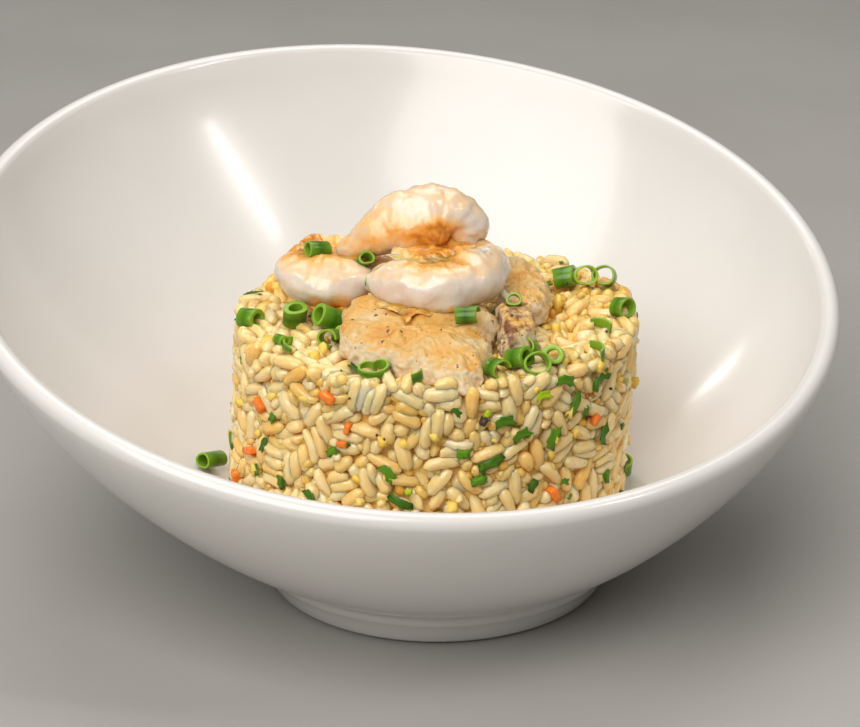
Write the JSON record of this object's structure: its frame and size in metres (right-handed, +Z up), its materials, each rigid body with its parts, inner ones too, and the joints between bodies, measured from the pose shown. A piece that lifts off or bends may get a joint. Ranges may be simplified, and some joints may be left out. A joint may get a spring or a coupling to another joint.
{
  "type": "bowl of fried rice",
  "caption": "Moulded drum of fried rice topped with curled shrimp, pan-fried chicken cuts and spring onion, standing in a wide porcelain bowl with a slanted rim and a low foot ring.",
  "frame": {"origin": "centre of the bounding box's footprint, on the plane the foot ring stands on", "axes": "+Z up, YZ is the bowl's middle plane, +Y towards the high side of the rim"},
  "size_m": [0.2018, 0.1958, 0.0958],
  "materials": {
    "porcelain": "glossy warm white glaze",
    "rice": "moist, softly glossy grains",
    "shrimp": "moist, pinkish white with orange pan marks",
    "chicken": "golden fried surface",
    "onion": "fresh cut green"
  },
  "bodies": {
    "root": {"bowl": "porcelain", "rice": "rice", "shrimp_top": "shrimp", "shrimp_front": "shrimp", "shrimp_left": "shrimp", "chicken_front": "chicken", "chicken_middle": "chicken", "chicken_back": "chicken", "onion_left": "onion", "onion_right": "onion"}
  },
  "joints": []
}
